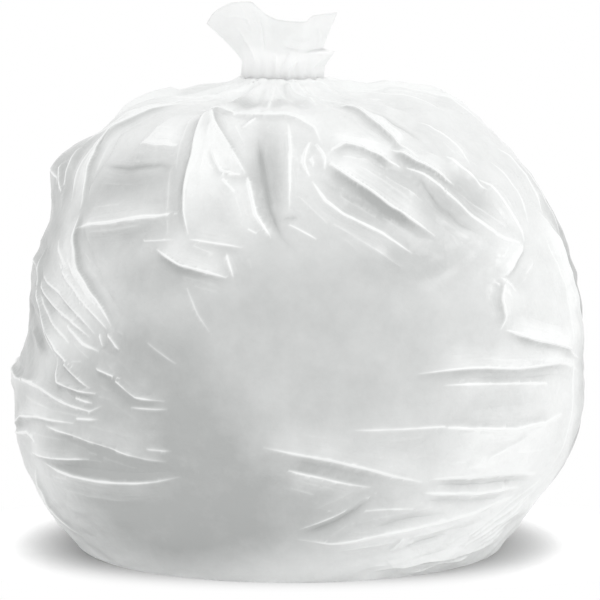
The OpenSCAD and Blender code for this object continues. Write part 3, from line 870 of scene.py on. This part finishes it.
def tuft_points(a, t, inward):
    """Points of the open end at azimuth a, from 0 at the groove to 1 at the rim."""
    around = wrapped(a)
    ar = np.radians(a)
    edge = rim_at(around)
    waist = np.interp(t, TIE_COVER[0], TIE_COVER[1])
    flare = np.maximum(0, (t - SPREAD_FROM) / (1 - SPREAD_FROM)) ** SPREAD_POWER
    # Waves grow towards the rim, and pleats fade out halfway up
    waves = 0.9 * t * np.sin(np.radians(5 * a + 30)) + 0.4 * t * np.sin(np.radians(13 * a + 60 * t))
    fade = smooth((0.5 - t) / 0.4) * smooth(t / 0.05)
    pleats = 0.9 * fade * np.cos(np.radians(9 * a + 30 + 40 * np.sin(np.radians(2 * a)))) ** 2
    flap = np.where(t < FLAP_UP, t / FLAP_UP, np.maximum(0, 1 - (t - FLAP_UP) / FLAP_DROP))
    corner = lump((around - FLAP_AT) / FLAP_WIDE) * flap
    out = waves + pleats + FLAP_OUT * corner + crease_lift(around, t) - inward
    x = waist * np.sin(ar) * (1 - flare) + edge[..., 0] * flare + out * np.sin(ar)
    y = -waist * np.cos(ar) * (1 - flare) + edge[..., 1] * flare - out * np.cos(ar) * (1 - 0.4 * t)
    z = GROOVE_TOP + (edge[..., 2] - TIE_T / 2 - GROOVE_GAP) * t + np.interp(t, TIE_COVER[0], TIE_COVER[2])
    return np.stack([x - NECK_LEAN, y, z], -1)


def open_end():
    """Grid of the open end, its two closing points, and how near its points are to the rim, for the
    painted rim shade.
    """
    a = np.arange(TUFT_COLUMNS) * (360 / TUFT_COLUMNS)
    outer = np.meshgrid(a, np.linspace(0, 1, OUTER_ROWS))
    inner = np.meshgrid(a, np.linspace(1, INSIDE_FOOT, INNER_ROWS))
    outside = tuft_points(*outer, 0)
    deep = (1 - inner[1]) / (1 - INSIDE_FOOT)
    inside = tuft_points(*inner, LINING_RIM + (LINING_FOOT - LINING_RIM) * deep)
    throat = np.array([-NECK_LEAN, 0, inside[-1, :, 2].mean() - THROAT_DEEP])
    floor = []
    for share in np.linspace(0, 1, THROAT_ROWS + 2)[1:-1]:
        row = inside[-1] * (1 - share) + throat * share
        pleat = THROAT_PLEAT * 4 * share * (1 - share)
        row[:, 2] -= pleat * np.abs(np.cos(np.radians(THROAT_PLEATS * a)))
        floor.append(row)
    grid = np.concatenate([outside, inside, np.stack(floor)])
    to_rim = np.concatenate([outer[1], inner[1], np.zeros((len(floor), a.size))])
    return grid, np.array([-NECK_LEAN, 0, GROOVE_TOP]), throat, 1 - (1 - to_rim) * TUFT_H / RIM_SHADE_WIDTH


# Meshes

def in_frame(points):
    """Millimetres about the bag's own middle, as metres in the frame."""
    points = np.asarray(points, float).reshape(-1, 3).copy()
    points[:, 0] += MIDDLE_X
    points[:, 1] += MIDDLE_Y
    return points / 1000


def grid_mesh(name, grid, first, last, owner=None):
    """A closed mesh from a grid, whose first and last rows close on the points first and last.

    Where an owner says that points lie on one crest, the edges between them stay sharp.
    """
    rows, columns, _ = grid.shape
    index = np.arange(rows * columns).reshape(rows, columns)
    beside = np.roll(index, -1, 1)
    quads = np.stack([index[:-1], beside[:-1], beside[1:], index[1:]], -1).reshape(-1, 4)
    crest = np.full(rows * columns + 2, -1)
    if owner is not None:
        crest[:owner.size] = owner.reshape(-1)
    c = crest[quads]
    other = (c[:, 1] == c[:, 3]) & (c[:, 1] >= 0)
    one_way, other_way = quads[:, [[0, 1, 2], [0, 2, 3]]], quads[:, [[1, 2, 3], [1, 3, 0]]]
    split = np.where(other[:, None, None], other_way, one_way)
    low, high = rows * columns, rows * columns + 1
    below = np.stack([beside[0], index[0], np.full(columns, low)], -1)
    above = np.stack([index[-1], beside[-1], np.full(columns, high)], -1)
    faces = np.concatenate([split.reshape(-1, 3), below, above])
    points = in_frame(np.concatenate([grid.reshape(-1, 3), [first], [last]]))
    mesh = bpy.data.meshes.new(name)
    mesh.from_pydata(points.tolist(), [], faces.tolist())
    mesh.shade_smooth()
    ends = np.zeros(2 * len(mesh.edges), np.int32)
    mesh.edges.foreach_get("vertices", ends)
    one, two = crest[ends.reshape(-1, 2)].T
    sharp = mesh.attributes.new("sharp_edge", "BOOLEAN", "EDGE")
    sharp.data.foreach_set("value", (one == two) & (one >= 0))
    return mesh


def in_scene(name, data):
    """A new object in the scene."""
    thing = bpy.data.objects.new(name, data)
    bpy.context.scene.collection.objects.link(thing)
    return thing


def new_piece(name, mesh, material):
    mesh.materials.append(material)
    return in_scene(name, mesh)


def give(piece, name, values, first, rest):
    """Gives the points from a first one on their values, and all other points the same one."""
    everywhere = np.full(len(piece.data.vertices), rest, np.float32)
    everywhere[first:first + values.size] = values.reshape(-1)
    piece.data.attributes.new(name, "FLOAT", "POINT").data.foreach_set("value", everywhere)


def underside(film):
    """Flat rows of the resting patch, from its middle out to its edge, and the middle."""
    middle = film[0].mean(0)
    shares = np.linspace(PATCH_INNERMOST, 1, PATCH_ROWS + 1)[:-1]
    return np.stack([middle + (film[0] - middle) * share for share in shares]), middle


# Materials

def new_material(name):
    material = bpy.data.materials.new(name)
    material.use_nodes = True
    tree = material.node_tree
    return material, tree, tree.nodes["Principled BSDF"]


def set_inputs(tree, node, inputs):
    """Sets inputs, given by name or by place, to values or to the outputs of other nodes."""
    for key, value in inputs.items():
        if isinstance(value, bpy.types.NodeSocket):
            tree.links.new(value, node.inputs[key])
        else:
            node.inputs[key].default_value = value


def add(tree, kind, inputs, **settings):
    """A new shader node: its outputs."""
    node = tree.nodes.new("ShaderNode" + kind)
    for name, value in settings.items():
        setattr(node, name, value)
    set_inputs(tree, node, inputs)
    return node.outputs


def told(tree, name):
    """What the mesh tells its material under a name."""
    return add(tree, "Attribute", {}, attribute_name=name)["Fac"]


def worked(tree, operation, *values, clamp=False):
    """What a sum of a kind gives for one or more values."""
    inputs = dict(enumerate(values))
    return add(tree, "Math", inputs, operation=operation, use_clamp=clamp)["Value"]


def added(tree, total, *parts):
    """A total to which each other value is added, times its share."""
    for value, share in parts:
        total = worked(tree, "MULTIPLY_ADD", value, share, total)
    return total


def object_place(tree):
    return add(tree, "TexCoord", {})["Object"]


def noise(tree, where, scale, detail, roughness=0.5):
    """Outputs of a noise texture."""
    inputs = {"Vector": where, "Scale": scale, "Detail": detail, "Roughness": roughness}
    return add(tree, "TexNoise", inputs)


def mixed(tree, share, colour, other):
    """A colour between two, the second where the share is 1."""
    inputs = {"Factor": share, "A": colour, "B": other}
    return add(tree, "Mix", inputs, data_type="RGBA")["Result"]


def bumped(tree, height, strength, distance):
    """Directions of a surface that looks uneven by a height."""
    inputs = {"Height": height, "Strength": strength, "Distance": distance}
    return add(tree, "Bump", inputs)["Normal"]


def film_material():
    """Thin white film: grey on what is inside and in painted shade, whiter where it stands off.

    A highlight is painted along the creases, partly as creased film's own whitening, painted
    shade lies in the valleys and under sharp drops, and fine streaks run beside the creases.
    """
    material, tree, shader = new_material("bag_film")
    place = object_place(tree)
    names = "crest", "shade", "layer"
    crest, shade, laid = (worked(tree, "MAXIMUM", told(tree, name), 0.0) for name in names)
    # Painted highlight along each crest, partly creased film's own whitening, broken up by noise
    highlight_breakup = worked(tree, "MULTIPLY", noise(tree, place, 70.0, 2.0)["Fac"], 2.4)
    painted_highlight = worked(tree, "MULTIPLY", worked(tree, "POWER", crest, LINE_THIN), highlight_breakup)
    # Painted shade in the valleys and under sharp drops
    painted_shade = worked(tree, "POWER", shade, 1.5)

    away = worked(tree, "MULTIPLY", told(tree, "streak_away"), 0.4)
    along = worked(tree, "MULTIPLY", told(tree, "streak_along"), 0.03)
    beside = add(tree, "CombineXYZ", {"X": away, "Y": along})["Vector"]
    waves = noise(tree, beside, 1.0, 3.0, 0.6)["Fac"]
    from_middle = worked(tree, "ABSOLUTE", worked(tree, "SUBTRACT", waves, 0.5))
    thin = worked(tree, "SUBTRACT", 0.12, from_middle)
    streak = worked(tree, "MULTIPLY", thin, told(tree, "streak_near"))

    mottle = worked(tree, "SUBTRACT", noise(tree, place, 45.0, 6.0, 0.7)["Fac"], 0.5)
    parts = (painted_highlight, 1.4), (painted_shade, -0.55), (laid, 0.3), (streak, 0.6), (mottle, 0.4)
    tint = added(tree, told(tree, "white"), *parts)

    fine = noise(tree, place, 110.0, 5.0, 0.65)
    inputs = {0: fine["Color"], 1: (0.008, 0.008, 0.008), 2: place}
    bent = add(tree, "VectorMath", inputs, operation="MULTIPLY_ADD")["Vector"]
    inputs = {"Vector": bent, "Scale": 95.0}
    edge = add(tree, "TexVoronoi", inputs, feature="DISTANCE_TO_EDGE")["Distance"]
    loose = worked(tree, "SUBTRACT", 1.0, told(tree, "calm"))
    facets = worked(tree, "MULTIPLY", worked(tree, "MINIMUM", edge, 0.25), loose)
    height = added(tree, 0.0, (streak, 3.0), (fine["Fac"], 0.6), (facets, 3.5))

    set_inputs(tree, shader, {
        "Base Color": mixed(tree, tint, (0.44, 0.45, 0.445, 1), (0.91, 0.92, 0.915, 1)),
        "Roughness": 0.33,
        "IOR": 1.5,
        "Coat Weight": 0.15,
        "Coat Roughness": 0.15,
        "Normal": bumped(tree, height, 0.35, 0.0006),
    })
    return material


def open_end_material():
    """Several layers of the same film, which light passes through."""
    material, tree, shader = new_material("open_end")
    place = object_place(tree)
    # Painted shade as a grey band along the rim, mixed with random spots
    edge = worked(tree, "MULTIPLY", told(tree, "rim_shade"), 0.8, clamp=True)
    mottle = noise(tree, place, 55.0, 5.0, 0.6)["Fac"]
    inputs = {"Value": mottle, "From Min": 0.5, "From Max": 0.75, "To Max": 0.4}
    spots = add(tree, "MapRange", inputs)["Result"]
    rim_shade_and_mottle = worked(tree, "MAXIMUM", edge, spots)
    fine = noise(tree, place, 90.0, 5.0, 0.65)["Fac"]
    set_inputs(tree, shader, {
        "Base Color": mixed(tree, rim_shade_and_mottle, (0.98, 0.99, 0.985, 1), (0.83, 0.84, 0.835, 1)),
        "Roughness": 0.4,
        "Subsurface Weight": 0.6,
        "Subsurface Radius": (1, 1, 1),
        "Subsurface Scale": 0.02,
        "Normal": bumped(tree, fine, 0.4, 0.001),
    })
    return material


def tie_material():
    material, tree, shader = new_material("tie")
    set_inputs(tree, shader, {"Base Color": (0.78, 0.79, 0.785, 1), "Roughness": 0.5})
    return material


def seen_ray(tree):
    """1 for what the camera sees, straight or in gloss or glass."""
    path = add(tree, "LightPath", {})
    glossy_too = worked(tree, "MAXIMUM", path["Is Camera Ray"], path["Is Glossy Ray"])
    return worked(tree, "MAXIMUM", glossy_too, path["Is Transmission Ray"])


def stage_material():
    """White floor that keeps the bag's shadow near it and is plain white further off.

    Near the bag, ambient occlusion darkens its colour and its glow: a painted contact shadow.
    """
    material, tree, shader = new_material("stage")
    plain = {"Base Color": (0.92, 0.92, 0.92, 1), "Roughness": 0.9, "Specular IOR Level": 0.1}
    set_inputs(tree, shader, plain)

    inputs = {0: object_place(tree), 1: (1.0, 1.85, 1.0)}
    squeezed = add(tree, "VectorMath", inputs, operation="MULTIPLY")["Vector"]
    distance = add(tree, "VectorMath", {0: squeezed}, operation="LENGTH")["Value"]
    inputs = {"Value": distance, "From Min": 0.16, "From Max": 0.3}
    fade = add(tree, "MapRange", inputs, interpolation_type="SMOOTHSTEP")["Result"]

    # Painted contact shadow: ambient occlusion darkens the floor's colour and glow near the bag
    open_sky = add(tree, "AmbientOcclusion", {"Distance": 0.045})["AO"]
    lit = worked(tree, "POWER", open_sky, 2)
    painted_shadow_colour = mixed(tree, lit, (0.45, 0.45, 0.45, 1), (0.95, 0.95, 0.95, 1))
    shaded = add(tree, "BsdfDiffuse", {"Color": painted_shadow_colour})["BSDF"]
    lift = add(tree, "Emission", {"Strength": worked(tree, "MULTIPLY", lit, 0.55)})["Emission"]
    near = add(tree, "AddShader", {0: shaded, 1: lift})["Shader"]
    far = add(tree, "Emission", {"Strength": 1.0})["Emission"]
    seen = add(tree, "MixShader", {"Fac": fade, 1: near, 2: far})["Shader"]
    inputs = {"Fac": seen_ray(tree), 1: shader.outputs["BSDF"], 2: seen}
    out = add(tree, "MixShader", inputs)["Shader"]
    set_inputs(tree, tree.nodes["Material Output"], {"Surface": out})
    return material


# Light, camera and floor

def look_at(thing, target):
    thing.rotation_euler = (target - thing.location).to_track_quat("-Z", "Y").to_euler()


def add_camera():
    data = bpy.data.cameras.new("camera")
    data.sensor_width = SENSOR
    data.lens = SENSOR * CAMERA_DISTANCE * 1000 / (PHOTO_PIXELS * MM_PER_PIXEL)
    camera = in_scene("camera", data)
    back = Vector((0, -cos(CAMERA_ELEVATION), sin(CAMERA_ELEVATION)))
    camera.location = AIM + back * CAMERA_DISTANCE
    look_at(camera, AIM)
    bpy.context.scene.camera = camera


def add_lamp(name, place, size, power):
    data = bpy.data.lights.new(name, "AREA")
    data.size = size
    data.energy = power
    lamp = in_scene(name, data)
    lamp.location = place
    look_at(lamp, LAMP_TARGET)


def add_world():
    world = bpy.data.worlds.new("world")
    bpy.context.scene.world = world
    world.use_nodes = True
    tree = world.node_tree
    light = tree.nodes["Background"]
    set_inputs(tree, light, {"Color": WHITE, "Strength": SKY})
    seen = add(tree, "Background", {"Color": WHITE, "Strength": 1.0})["Background"]
    inputs = {"Fac": seen_ray(tree), 1: light.outputs["Background"], 2: seen}
    mix = add(tree, "MixShader", inputs)["Shader"]
    set_inputs(tree, tree.nodes["World Output"], {"Surface": mix})


def add_floor():
    size = 6.0
    mesh = bpy.data.meshes.new("floor")
    corners = [(-size, -size, 0), (size, -size, 0), (size, size, 0), (-size, size, 0)]
    mesh.from_pydata(corners, [], [(0, 1, 2, 3)])
    floor = new_piece("floor", mesh, stage_material())


add_camera()
add_world()
for lamp in LAMPS:
    add_lamp(*lamp)
add_floor()

places, film, off, owner, mesh_tells = folded_film()
under, under_middle = underside(film)
whole = np.concatenate([under, film])
crests = np.concatenate([np.full(under.shape[:2], -1), owner])
bag_mesh = grid_mesh("bag_film", whole, under_middle, film[-1].mean(0), crests)
bag = new_piece("bag_film", bag_mesh, film_material())
first = under.size // 3
give(bag, "white", whiteness_and_painted_shade(places, off), first, 1)
for name, values in mesh_tells.items():
    give(bag, name, values, first, 0)
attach(bag, "root")
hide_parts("bag")

tuft_grid, tuft_foot, throat, rim_shade = open_end()
tuft_mesh = grid_mesh("open_end", tuft_grid, tuft_foot, throat)
tuft = new_piece("open_end", tuft_mesh, open_end_material())
give(tuft, "rim_shade", rim_shade, 0, 0)
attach(tuft, "root")

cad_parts["neck_tie"].data.materials[0] = tie_material()

scene = bpy.context.scene
scene.view_settings.view_transform = "Standard"
